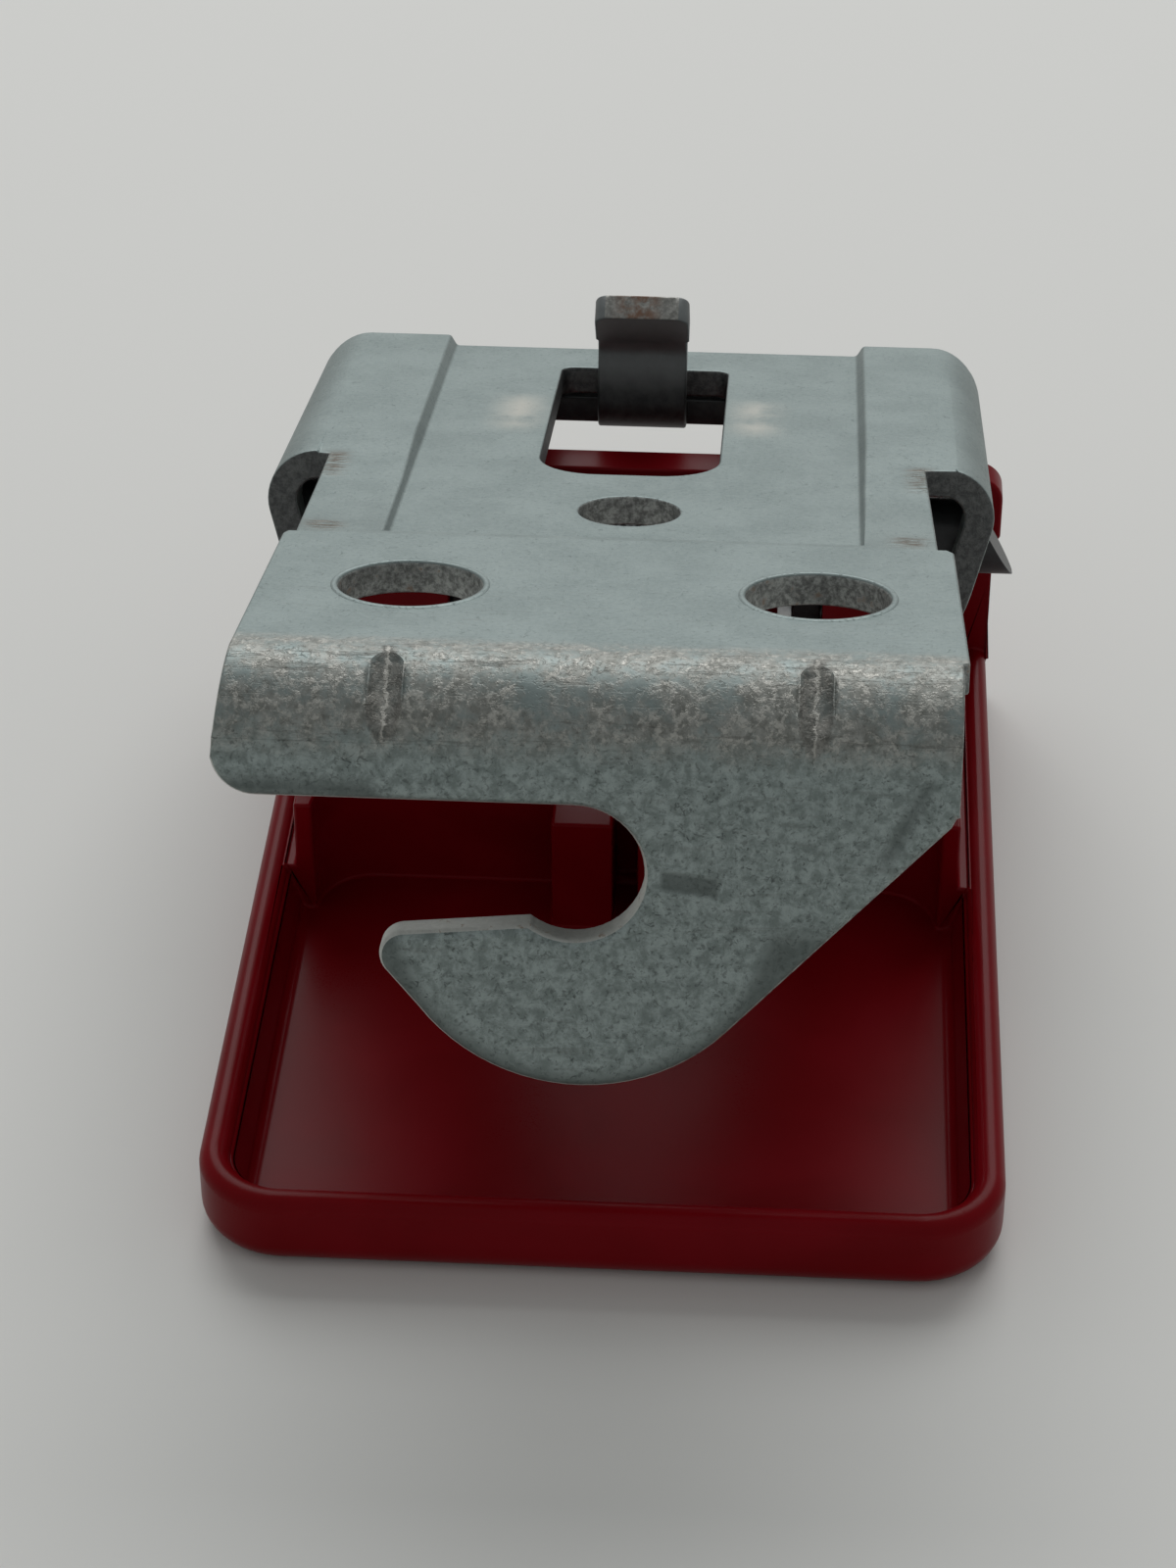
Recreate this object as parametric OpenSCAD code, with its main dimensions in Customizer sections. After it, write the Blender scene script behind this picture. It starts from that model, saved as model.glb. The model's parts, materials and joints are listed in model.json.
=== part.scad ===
// Squeeze latch: a pressed steel hook plate whose handle works a steel finger through the plate.
// Bracket shapes are drawn in the plate's own frame (Z = 0 on its top face, Y = 0 where the
// front bend starts) and then tilted into place. Handle shapes are drawn flat on the table.

/* [Placing] */
// Slope of the bracket plate when the handle lies flat on the table, degrees
tilt = 15; // [0:0.5:25]
// Height of the plate's front bend line above the table
plate_h = 52.45; // [40:0.05:70]
// Distance from the front bend line back to the middle of the whole latch
y_mid = 37.16; // [20:0.01:50]

/* [Bracket] */
// Sheet thickness
sheet_t = 2.5; // [1.5:0.1:4]
// Left edge of the front zone with the bolt holes, from the middle between the holes
zone_xl = -27.2; // [-35:0.05:-20]
// Right edge of the front zone where it meets the bend
zone_xr = 26.5; // [20:0.05:35]
// Length of the front zone behind the bend line
zone_l = 28; // [20:0.1:40]
// Left edge of the bend where it starts
face_xl = -27.2; // [-35:0.05:-20]
// Right edge of the hook face and of the bend above it
face_xr = 26.05; // [20:0.05:35]
// How far the hook face widens to the left below the bend
flare = 1; // [0:0.1:3]
// Outer radius of the front bend
front_r = 5.6; // [3:0.1:8]
// Left edge of the neck between the front zone and the ears
neck_xl = -26.1; // [-30:0.05:-20]
// Right edge of the neck at its front end
neck_xr = 24.9; // [20:0.05:30]
// Length of the plate behind the bend line
plate_l = 91.2; // [70:0.1:120]
// Width over the rolled side edges
channel_w = 61.7; // [50:0.1:80]
// How far the rolled side edges lie off the middle between the bolt holes
channel_x = -0.5; // [-2:0.05:2]
// Outer radius of the side bends
side_r = 4.4; // [3:0.1:8]
// Where the ears begin
ear_y0 = 50.3; // [40:0.1:60]
// Where the ears end and only the rolled edge goes on
ear_y1 = 72; // [60:0.1:85]
// How far the ears reach below the plate's top face
ear_depth = 14.6; // [10:0.1:20]
// How far the ears lean inward, degrees
ear_lean = 15; // [0:1:30]
// Diameter of the two bolt holes
bolt_d = 11; // [6:0.1:14]
// Distance between the two bolt holes
bolt_pitch = 31; // [20:0.5:45]
// Distance of the bolt holes from the bend line
bolt_y = 14.35; // [8:0.05:25]
// Diameter of the middle hole
mid_d = 8.3; // [4:0.1:12]
// Distance of the middle hole from the bend line
mid_y = 38.7; // [30:0.1:45]
// Depth of the sunk middle strip
sink = 1; // [0:0.1:2]
// Half width of the sunk middle strip at its floor
sink_w = 18.8; // [12:0.1:22]
// Width of the slopes beside the sunk strip
slope_w = 0.6; // [0.2:0.1:2]
// How far the neck is coined down behind the front zone
coin = 0.35; // [0:0.05:0.6]
// Half width of the long window
win_w = 7.65; // [5:0.05:12]
// Middle of the long window, across
win_x = -0.7; // [-3:0.05:3]
// Front edge of the long window
win_y0 = 49.2; // [40:0.1:60]
// Rear edge of the long window
win_y1 = 84.2; // [70:0.1:90]

/* [Hook] */
// Centre of the hook's round belly, across
belly_x = -1.1; // [-5:0.1:5]
// Centre of the hook's round belly, height in the plate frame
belly_z = -17.4; // [-25:0.1:-10]
// Radius of the belly
belly_r = 14.9; // [10:0.1:20]
// Radius of the mouth's round end
mouth_r = 5.2; // [3:0.05:8]
// Centre of the mouth's round end, across
mouth_x = -1.7; // [-5:0.05:5]
// Height of the mouth's middle line in the plate frame
mouth_z = -15.3; // [-20:0.1:-10]
// Leftmost point of the hook's tip
tip_x = -15.9; // [-20:0.05:-10]
// Height of the tip's upper edge in the plate frame
tip_z = -20.3; // [-24:0.05:-16]
// Radius of the tip
tip_r = 1.95; // [1:0.05:3]

/* [Pivot] */
// Distance of the pivot behind the bend line
pivot_y = 56; // [50:0.5:65]
// Height of the pivot in the plate frame
pivot_z = -7.5; // [-12:0.1:-6]
// Radius of the snap bushes where they turn in the ears
trunnion_r = 3.2; // [2:0.05:4]
// Radius of the steel spindle
spindle_r = 2.3; // [1.5:0.05:3]
// Radius of the snap bushes where they sit in the hub
sleeve_r = 2.9; // [2.6:0.05:3.2]

/* [Finger lever] */
// Sheet thickness of the lever
lever_t = 2.4; // [1.5:0.1:3]
// Outer half width over the lever's arms
arm_x = 16; // [11:0.1:18]
// Front edge of the crossbar
bar_y0 = 84.2; // [80:0.1:90]
// Rear edge of the crossbar
bar_y1 = 90; // [86:0.1:95]
// Width of the finger
finger_w = 8.1; // [6:0.1:14]
// Middle of the finger, across
finger_x = -0.85; // [-3:0.05:3]
// Rear face of the finger where it stands in the window
finger_y = 82.6; // [78:0.1:84]
// Forward lean of the finger's tip, degrees
finger_lean = 50; // [20:1:70]
// Straight length of the leaning tip
finger_l = 4.7; // [2:0.1:8]

/* [Handle] */
// Width of the tray
tray_w = 63.6; // [50:0.1:80]
// Front edge of the tray, from the bend line
tray_y0 = -10; // [-20:0.5:0]
// Rear face of the handle, from the bend line
tray_y1 = 74; // [60:0.5:90]
// Height of the rim above the table
rim_h = 6.7; // [5:0.1:12]
// Thickness of the tray floor
floor_t = 1.8; // [1:0.1:4]
// Plan radius of the tray's front corners
corner_r = 7; // [5:0.5:12]
// Where the recess ends and the deck begins
deck_y0 = 39; // [30:0.5:50]
// Height of the deck above the table
deck_h = 12.8; // [8:0.1:18]
// Thickness of the rear wall
wall_t = 3.3; // [2:0.1:5]
// Height of the rear wall above the table
wall_h = 25.15; // [20:0.05:30]

/* [Hub and spring] */
// Half width of the hub block
hub_x = 24.4; // [20:0.1:26]
// Radius of the screw shanks
screw_r = 1.6; // [1:0.1:2.5]
// Spring wire diameter
wire_d = 1.2; // [0.6:0.1:2]
// Mean radius of the spring coil
coil_r = 3.05; // [2.9:0.05:4]
// Number of full turns
coil_n = 4; // [3:1:9]

/* [Hidden] */
$fn = 96;
bend_x = channel_w / 2 - side_r;
// the pivot seen from the table: p_y from the bend line, p_z above the table
p_y = pivot_y * cos(tilt) + pivot_z * sin(tilt);
p_z = plate_h - pivot_y * sin(tilt) + pivot_z * cos(tilt);
hub_y0 = 44.5;
hub_y1 = 60.5;
screw_x = 20.3;
deck_x = 28.6;
screw_y = [47.6, 57.4];
rivet_y = p_y + 1.2;
rivet_z = p_z - 8.7;
under_z = -sheet_t - sink;
wire_n = 8;

// Puts a shape drawn in the plate frame into the latch's frame.
module on_plate() {
    translate([0, -y_mid, plate_h])
        rotate([-tilt, 0, 0])
            children();
}

// Puts a shape drawn on the table, measured from the bend line, into the latch's frame.
module on_table() {
    translate([0, -y_mid, 0])
        children();
}

// Extrudes a (Y, Z) outline along X, centred.
module along_x(w) {
    translate([-w / 2, 0, 0])
        rotate([90, 0, 90])
            linear_extrude(w)
                children();
}

// Extrudes an (X, Z) outline along Y from y0 to y1.
module along_y(y0, y1) {
    translate([0, y1, 0])
        rotate([90, 0, 0])
            linear_extrude(y1 - y0)
                children();
}

// A rectangle from (x0, y0) to (x1, y1) whose four corners have the radii in r,
// counted from the lower left corner round to the upper left one.
module soft_rect(x0, y0, x1, y1, r) {
    difference() {
        translate([x0, y0])
            square([x1 - x0, y1 - y0]);
        soft_corner(x0, y0, 1, 1, r[0]);
        soft_corner(x1, y0, -1, 1, r[1]);
        soft_corner(x1, y1, -1, -1, r[2]);
        soft_corner(x0, y1, 1, -1, r[3]);
    }
}

// What is cut off one corner to round it.
module soft_corner(x, y, sx, sy, r) {
    if (r > 0)
        difference() {
            translate([x + sx * (r / 2 - 0.5), y + sy * (r / 2 - 0.5)])
                square([r + 1, r + 1], center = true);
            translate([x + sx * r, y + sy * r])
                circle(r = r);
        }
}

// ---------------------------------------------------------------- bracket

// Flat blank of the plate seen from above, without its holes.
module plate_outline() {
    polygon([[zone_xl, 0], [zone_xr, 0], [zone_xr - 0.4, zone_l - 1.3], [zone_xr - 1.1, zone_l - 0.3],
        [neck_xr, zone_l], [neck_xr - 0.5, ear_y0 + 0.5], [neck_xl, ear_y0 + 0.5], [neck_xl, zone_l],
        [zone_xl + 0.6, zone_l - 0.6], [zone_xl + 0.3, zone_l - 1.4]]);
    translate([channel_x - bend_x, ear_y0])
        square([2 * bend_x, plate_l - ear_y0]);
}

// The sunk strip: its top, or with off = sheet_t the matching bulge below.
module sunk_strip(off, in, up) {
    w = sink_w + slope_w - in;
    intersection() {
        along_y(zone_l - 4, plate_l + (off > 0 ? 0 : 1))
            polygon([[-w - up * slope_w, up - off], [w + up * slope_w, up - off],
                [w - slope_w, -sink - off], [-w + slope_w, -sink - off]]);
        along_x(60)
            polygon([[zone_l + 0.6 + in - up, up - off], [plate_l + 1, up - off],
                [plate_l + 1, -sink - off], [zone_l + 0.6 + in + 1.4 * sink, -sink - off]]);
    }
}

// Section of the rolled side edge and its ear in (X, Z), on the +X side.
module side_section() {
    difference() {
        union() {
            intersection() {
                circle(r = side_r);
                translate([-0.3, -side_r])
                    square([9, 9]);
            }
            rotate(-ear_lean)
                translate([0.2, -ear_depth])
                    square([side_r - 0.2, ear_depth]);
        }
        circle(r = side_r - sheet_t);
        rotate(-ear_lean)
            translate([-9, -ear_depth - 1])
                square([9 + side_r - sheet_t, ear_depth + 1]);
    }
}

// Rolled side edge on the +X side, cut to the ear's outline seen from the side.
module side_edge() {
    intersection() {
        translate([bend_x, 0, -side_r])
            along_y(ear_y0, plate_l)
                side_section();
        along_x(2 * channel_w)
            union() {
                soft_rect(ear_y0, -ear_depth, ear_y1, 2, [4, 4, 0, 0]);
                translate([ear_y0 + 5, -side_r - 1.4])
                    square([plate_l - ear_y0 - 5, side_r + 4]);
            }
        linear_extrude(40, center = true)
            soft_rect(-channel_w, 0, channel_w / 2 + 0.2, plate_l, [0, 0, 5, 0]);
    }
}

// Upper part of the hook face and the bend above it, seen from the front in (X, Z).
module face_outline(top) {
    intersection() {
        soft_rect(face_xl - flare, mouth_z + mouth_r, face_xr, top, [3.3, 0, 0, 0]);
        polygon([[face_xl + 0.125, 1], [face_xl - flare, -8], [face_xl - flare, -20],
            [face_xr + 1, -20], [face_xr + 1, 1]]);
    }
}

// Rounded front bend, from the plate's top face down to the hook face.
module front_bend() {
    intersection() {
        translate([-40, 0, -front_r])
            rotate([0, 90, 0])
                difference() {
                    cylinder(r = front_r, h = 80);
                    translate([0, 0, -1])
                        cylinder(r = front_r - sheet_t, h = 82);
                }
        along_y(-9, 0)
            intersection() {
                face_outline(1);
                translate([-40, -front_r])
                    square([80, 9]);
            }
    }
}

// Hook face in (X, Z), bend line upward left out.
module hook_outline() {
    difference() {
        union() {
            face_outline(-front_r);
            intersection() {
                translate([belly_x, belly_z])
                    circle(r = belly_r);
                translate([-40, -45])
                    square([80, 45 - front_r]);
            }
            polygon([[belly_x, mouth_z + mouth_r + 1], [face_xr, mouth_z + mouth_r + 1],
                [face_xr, mouth_z + mouth_r + 0.3], [face_xr - 0.5, mouth_z + mouth_r - 0.75],
                [belly_x + belly_r * cos(43.5), belly_z - belly_r * sin(43.5)],
                [belly_x, belly_z]]);
            translate([tip_x + tip_r, tip_z - tip_r])
                circle(r = tip_r);
            polygon([[tip_x + tip_r, tip_z - tip_r],
                [tip_x + tip_r * (1 + cos(215)), tip_z - tip_r * (1 - sin(215))],
                [belly_x + belly_r * cos(217), belly_z + belly_r * sin(217)], [belly_x, belly_z]]);
        }
        polygon([[-40, mouth_z + mouth_r], [mouth_x, mouth_z + mouth_r],
            [mouth_x, mouth_z - mouth_r + 0.3], [mouth_x - 3, mouth_z - mouth_r + 1.1],
            [tip_x + tip_r, tip_z], [-40, tip_z]]);
        translate([mouth_x, mouth_z])
            circle(r = mouth_r);
        soft_corner(tip_x, tip_z, 1, -1, tip_r);
    }
}

module hook_bracket() {
    color([0.60, 0.66, 0.67])
    on_plate()
    difference() {
        union() {
            translate([0, 0, -sheet_t])
                linear_extrude(sheet_t)
                    plate_outline();
            sunk_strip(sheet_t, 0.4, 0.6);
            front_bend();
            along_y(-front_r, sheet_t - front_r)
                hook_outline();
            translate([channel_x, 0, 0])
                for (s = [0, 1])
                    mirror([s, 0, 0])
                        side_edge();
        }
        sunk_strip(0, 0, 1);
        along_x(54)
            polygon([[zone_l - 0.8, 0.5], [zone_l - 0.8, 0], [zone_l + 0.3, -coin], [44, -coin],
                [57, 0], [57, 0.5]]);
        for (s = [-1, 1]) {
            translate([s * bolt_pitch / 2, bolt_y, -5])
                cylinder(d = bolt_d, h = 10);
            translate([s * bolt_pitch / 2, 0, -front_r])
                rotate([45, 0, 0])
                    translate([0, 0, 6.55])
                        rotate([90, 0, 0])
                            cylinder(r = 1.8, h = 12, center = true);
        }
        translate([0, mid_y, -6])
            cylinder(d = mid_d, h = 10);
        translate([0, 0, -6])
            linear_extrude(10)
                soft_rect(win_x - win_w, win_y0, win_x + win_w, win_y1, [5, 5, 1.2, 1.2]);
        translate([-40, pivot_y, pivot_z])
            rotate([0, 90, 0])
                cylinder(r = trunnion_r + 0.08, h = 80);
    }
}

// ---------------------------------------------------------------- handle

// Section of the tray's rim, with the outer face at x = 0 and the inside toward +x.
module rim_section() {
    difference() {
        soft_rect(0, 0, 5.2, rim_h, [2.2, 0, 0, 1.25]);
        polygon([[2.5, rim_h + 1], [2.5, rim_h - 1.2], [3.5, floor_t + 1], [6, floor_t + 1],
            [6, rim_h + 1]]);
        soft_corner(2.5, rim_h, -1, -1, 1.24);
        translate([4.5, floor_t + 1])
            circle(r = 1);
        translate([4.5, floor_t])
            square([2, 3]);
    }
}

// Rim run along +Y for len, outer face at x = 0.
module rim_run(len) {
    translate([0, len, 0])
        rotate([90, 0, 0])
            linear_extrude(len)
                rim_section();
}

// Rim carried round one front corner.
module rim_corner() {
    rotate([0, 0, 180])
        rotate_extrude(angle = 90)
            translate([corner_r, 0])
                mirror([1, 0])
                    rim_section();
}

module handle_shell() {
    hw = tray_w / 2;
    run = tray_y1 - wall_t + 0.2 - tray_y0 - corner_r;
    color([0.50, 0.02, 0.05])
    on_table()
    difference() {
        union() {
            for (s = [0, 1])
                mirror([s, 0, 0]) {
                    translate([-hw, tray_y0 + corner_r, 0])
                        rim_run(run);
                    translate([-hw + corner_r, tray_y0 + corner_r, 0])
                        rim_corner();
                }
            translate([hw - corner_r, tray_y0, 0])
                rotate([0, 0, 90])
                    rim_run(tray_w - 2 * corner_r);
            linear_extrude(floor_t)
                soft_rect(-hw + 4.6, tray_y0 + 4.6, hw - 4.6, tray_y1 - 1, [2.4, 2.4, 0, 0]);
            deck();
            rear_wall();
            for (s = [-1, 1])
                translate([s > 0 ? 1.1 : -6.3, deck_y0 - 6.5, floor_t - 0.2])
                    cube([5.2, 8, deck_h - floor_t + 0.2]);
        }
        translate([-1.1, deck_y0 - 8, floor_t + 0.6])
            cube([2.2, 9, deck_h]);
        translate([0, 0, -1])
            linear_extrude(deck_h - 1.8)
                soft_rect(-deck_x + 3, deck_y0 + 2.6, deck_x - 3, tray_y1 - wall_t - 2.4,
                    [3, 3, 3, 3]);
        for (x = [-screw_x, screw_x], y = screw_y)
            translate([x, y, 0])
                cylinder(r = screw_r + 0.3, h = deck_h + 1);
    }
}

// Raised deck that carries the hub, with the rounded rear end of the recess in its front.
module deck() {
    w = tray_w / 2 - 2.2;
    for (step = [[w, rim_h - 0.4], [deck_x, deck_h]])
        linear_extrude(step[1])
            difference() {
                translate([-step[0], deck_y0 - 5])
                    square([2 * step[0], tray_y1 - deck_y0 + 4]);
                soft_rect(-w + 2.6, deck_y0 - 12, w - 2.6, deck_y0, [0, 0, 5, 5]);
            }
}

// Rear wall with slots for the lever's arms, a little wider at the top than the tray.
module rear_wall() {
    w = tray_w / 2 + 0.6;
    along_y(tray_y1 - wall_t, tray_y1)
        difference() {
            union() {
                soft_rect(-w + 0.6, 0, w - 0.6, 21, [2.2, 2.2, 0, 0]);
                soft_rect(-w, 18.5, w, wall_h, [0.6, 0.6, 2.4, 2.4]);
            }
            for (s = [-1, 1])
                translate([s * (arm_x - lever_t / 2), wall_h])
                    square([lever_t + 0.8, 7.9], center = true);
        }
}

// ---------------------------------------------------------------- hub and lever

// Hub cheek seen from the side: round over the pivot, wide at the foot.
module cheek_outline() {
    translate([p_y, p_z])
        circle(r = 3.6);
    polygon([[hub_y0, deck_h], [hub_y1, deck_h], [hub_y1, deck_h + 4],
        [p_y + 3.2, p_z - 1.3], [p_y - 3.2, p_z - 1.3], [hub_y0, deck_h + 4]]);
}

module hub_block() {
    color([0.42, 0.02, 0.05])
    on_table()
        difference() {
            union() {
                for (s = [-1, 1])
                    translate([s * (hub_x + arm_x + 0.15) / 2, 0, 0])
                        along_x(hub_x - arm_x - 0.15)
                            cheek_outline();
                translate([-hub_x, hub_y0, deck_h])
                    cube([2 * hub_x, hub_y1 - hub_y0, 3.2]);
            }
            translate([-40, p_y, p_z])
                rotate([0, 90, 0])
                    cylinder(r = spindle_r + 0.04, h = 80);
            for (s = [-1, 1])
                translate([s > 0 ? hub_x - 3 : -hub_x - 2, p_y, p_z])
                    rotate([0, 90, 0])
                        cylinder(r = sleeve_r + 0.05, h = 5);
            for (x = [-screw_x, screw_x], y = screw_y)
                translate([x, y, deck_h - 1])
                    cylinder(r = screw_r + 0.03, h = 9.2);
            translate([-40, rivet_y, rivet_z])
                rotate([0, 90, 0])
                    cylinder(r = 1.55, h = 80);
            for (s = [-1, 1])
                translate([s > 0 ? hub_x - 1.2 : -hub_x - 3, rivet_y, rivet_z])
                    rotate([0, 90, 0])
                        cylinder(r = 3.1, h = 4.2);
        }
}

// Snap bush on the +X side: a sleeve in the hub, a journal in the ear, blind at its outer end.
module bush(end) {
    difference() {
        translate([0, pivot_y, pivot_z])
            rotate([0, 90, 0]) {
                translate([0, 0, hub_x - 2.95])
                    cylinder(r = sleeve_r, h = 3.5);
                translate([0, 0, hub_x + 0.05])
                    cylinder(r = trunnion_r, h = end - hub_x - 0.05);
            }
        translate([0, pivot_y, pivot_z])
            rotate([0, 90, 0])
                cylinder(r = spindle_r + 0.04, h = 28.8);
    }
}

module snap_bush_left() {
    color([0.07, 0.07, 0.075])
    on_plate()
        mirror([1, 0, 0])
            bush(30.4);
}

// The right bush goes on outside the ear and is cut off at a slant there.
module snap_bush_right() {
    color([0.07, 0.07, 0.075])
    on_plate()
        difference() {
            bush(32.38);
            translate([32.45, pivot_y, pivot_z - trunnion_r])
                rotate([0, -31, 0])
                    translate([0, -5, -6])
                        cube([8, 10, 16]);
        }
}

// Side view of one lever arm, in the plate frame.
module arm_outline() {
    translate([pivot_y, pivot_z])
        circle(r = 3.5);
    polygon([[pivot_y - 3.4, pivot_z - 0.9], [pivot_y + 1, pivot_z + 3.3], [bar_y1 - 3, pivot_z + 3],
        [bar_y1, pivot_z + 0.6], [bar_y1, pivot_z - 1.2], [bar_y1 - 12, pivot_z - 2.8],
        [pivot_y + 8, pivot_z - 5.5], [pivot_y + 6.6, pivot_z - 12.3], [pivot_y, pivot_z - 12.3]]);
}

module tongue_lever() {
    top = under_z - 0.3;
    color([0.10, 0.10, 0.105])
    difference() {
        on_plate() {
            for (s = [-1, 1])
                translate([s * (arm_x - lever_t / 2), 0, 0])
                    along_x(lever_t)
                        difference() {
                            arm_outline();
                            translate([bar_y0, top - lever_t - 0.5])
                                square([bar_y1 - bar_y0 + 1, 6]);
                        }
            crossbar(top);
            translate([finger_x, 0, 0])
                finger(top);
        }
        on_table() {
            translate([-40, p_y, p_z])
                rotate([0, 90, 0])
                    cylinder(r = spindle_r + 0.06, h = 80);
            translate([-40, rivet_y, rivet_z])
                rotate([0, 90, 0])
                    cylinder(r = 1.55, h = 80);
        }
    }
}

// Crossbar under the plate with its two down-turned ends.
module crossbar(top) {
    along_y(bar_y0, bar_y1) {
        translate([-arm_x + 2.9, top - lever_t])
            square([2 * arm_x - 5.8, lever_t]);
        for (s = [-1, 1])
            difference() {
                translate([s * (arm_x - 2.9), top - 2.9])
                    circle(r = 2.9);
                translate([s * (arm_x - 2.9), top - 2.9])
                    circle(r = 0.5);
                translate([s * (arm_x - 5.9) - 3, top - 7])
                    square([6, 8]);
                translate([-20, top - 8])
                    square([40, 5.1]);
            }
    }
}

// Finger: turned up out of the crossbar, upright through the window, tip leaning forward.
module finger(top) {
    r_in = 0.8;
    c_y = finger_y + r_in;
    kink_z = 1.2;
    k_y = finger_y - lever_t - 2;
    translate([-finger_w / 2, c_y, top - lever_t])
        cube([finger_w, bar_y0 - c_y + 0.5, lever_t]);
    along_x(finger_w) {
        intersection() {
            difference() {
                translate([c_y, top + r_in])
                    circle(r = r_in + lever_t);
                translate([c_y, top + r_in])
                    circle(r = r_in);
            }
            translate([c_y - 6, top + r_in - 6])
                square([6, 6]);
        }
        translate([finger_y - lever_t, top + r_in])
            square([lever_t, kink_z - top - r_in]);
        intersection() {
            difference() {
                translate([k_y, kink_z])
                    circle(r = 2 + lever_t);
                translate([k_y, kink_z])
                    circle(r = 2);
            }
            translate([k_y, kink_z])
                polygon([[0, 0], [9, 0], [9, 9 * tan(finger_lean)]]);
        }
    }
    translate([0, k_y, kink_z])
        rotate([finger_lean, 0, 0])
            translate([0, 2 + lever_t, 0])
                rotate([90, 0, 0])
                    linear_extrude(lever_t)
                        soft_rect(-finger_w / 2 - 0.2, 0, finger_w / 2 + 0.2, finger_l,
                            [0, 0, 1.3, 1.3]);
}

module pivot_spindle() {
    color([0.72, 0.72, 0.74])
    on_table()
        translate([-28.6, p_y, p_z])
            rotate([0, 90, 0]) {
                translate([0, 0, 0.5])
                    cylinder(r = spindle_r, h = 56.2);
                cylinder(r1 = spindle_r - 0.5, r2 = spindle_r, h = 0.5);
                translate([0, 0, 56.7])
                    cylinder(r1 = spindle_r, r2 = spindle_r - 0.5, h = 0.5);
            }
}

// Rivet through one lever arm and one hub cheek, on the +X side.
module rivet() {
    translate([0, rivet_y, rivet_z])
        rotate([0, 90, 0]) {
            translate([0, 0, arm_x - lever_t - 0.3])
                cylinder(r = 1.5, h = hub_x - arm_x + lever_t - 0.8);
            translate([0, 0, arm_x - lever_t - 1.35])
                cylinder(r1 = 2.2, r2 = 2.9, h = 1.3);
            translate([0, 0, hub_x - 1.15])
                cylinder(r1 = 2.9, r2 = 2.5, h = 0.95);
        }
}

module lever_rivet_right() {
    color([0.70, 0.70, 0.72])
    on_table()
        rivet();
}

module lever_rivet_left() {
    color([0.70, 0.70, 0.72])
    on_table()
        mirror([1, 0, 0])
            rivet();
}

// Self-tapping screw driven up through the deck into the hub.
module hub_screw(x, y) {
    color([0.68, 0.69, 0.70])
    on_table()
        translate([x, y, deck_h - 2.85])
            difference() {
                union() {
                    translate([0, 0, -2])
                        cylinder(r = 3.2, h = 2);
                    translate([0, 0, -2.5])
                        cylinder(r1 = 2.5, r2 = 3.2, h = 0.5);
                    cylinder(r = screw_r, h = 9);
                    translate([0, 0, 9])
                        cylinder(r1 = screw_r, r2 = 0.6, h = 1.2);
                }
                for (a = [0, 90])
                    rotate([0, 0, a])
                        translate([-1.7, -0.35, -3])
                            cube([3.4, 0.7, 1.7]);
            }
}

// ---------------------------------------------------------------- spring

// The spring's middle line round the pivot, in the plate frame: a front leg under the plate,
// the coil, and a leg that goes down to the hub's foot.
leg_a = -18.8;
step_a = 15;
wind = floor((coil_n * 360 + 90 - leg_a) / step_a);
rise = 1.32 / 360;
x_end = wind * step_a * rise / 2;
front_leg = [for (i = [0:3]) [-x_end, -10.5 + i * 3.2, coil_r]];
coil = [for (i = [0:wind]) let (a = 90 - i * step_a)
    [-x_end + i * step_a * rise, coil_r * cos(a), coil_r * sin(a)]];
foot_leg = [for (i = [1:4]) [x_end, coil_r * cos(leg_a) + i * 3.55 * sin(leg_a),
    coil_r * sin(leg_a) - i * 3.55 * cos(leg_a)]];
path = concat(front_leg, coil, foot_leg);

// Rings of points round a path, joined into one closed tube.
module tube(p, r) {
    n = len(p);
    pts = [for (i = [0:n - 1])
        let (d0 = p[min(i + 1, n - 1)] - p[max(i - 1, 0)], d = d0 / norm(d0),
            u0 = cross(d, [1, 0.01, 0.02]), u = u0 / norm(u0), v = cross(d, u))
        for (k = [0:wire_n - 1])
            p[i] + r * (cos(k * 360 / wire_n) * u + sin(k * 360 / wire_n) * v)];
    faces = concat(
        [[for (k = [0:wire_n - 1]) k]],
        [[for (k = [0:wire_n - 1]) n * wire_n - 1 - k]],
        [for (i = [0:n - 2]) for (k = [0:wire_n - 1])
            [i * wire_n + k, (i + 1) * wire_n + k, (i + 1) * wire_n + (k + 1) % wire_n,
                i * wire_n + (k + 1) % wire_n]]);
    polyhedron(points = pts, faces = faces, convexity = 6);
}

module return_spring() {
    color([0.45, 0.46, 0.48])
    on_plate()
        translate([0, pivot_y, pivot_z])
            tube(path, wire_d / 2);
}

hook_bracket();
handle_shell();
hub_block();
snap_bush_left();
snap_bush_right();
tongue_lever();
pivot_spindle();
return_spring();
lever_rivet_left();
lever_rivet_right();
hub_screw(-screw_x, screw_y[0]);  // hub_screw_front_left
hub_screw(screw_x, screw_y[0]);  // hub_screw_front_right
hub_screw(-screw_x, screw_y[1]);  // hub_screw_rear_left
hub_screw(screw_x, screw_y[1]);  // hub_screw_rear_right
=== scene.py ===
# %% [markdown]
# # A squeeze latch, finished from its CAD model
# The latch is a pressed and zinc-plated steel hook plate on a dark red moulded handle. A black
# steel finger stands up through a window in the plate. The CAD model already holds every size, so
# the work here is what a CAD solid lacks: broken edges, marks of the press, and real surfaces.

# %% The frame
import json
from math import cos, pi, radians, sin

import bmesh
import bpy
from mathutils import Matrix, Vector
from mathutils.bvhtree import BVHTree


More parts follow.
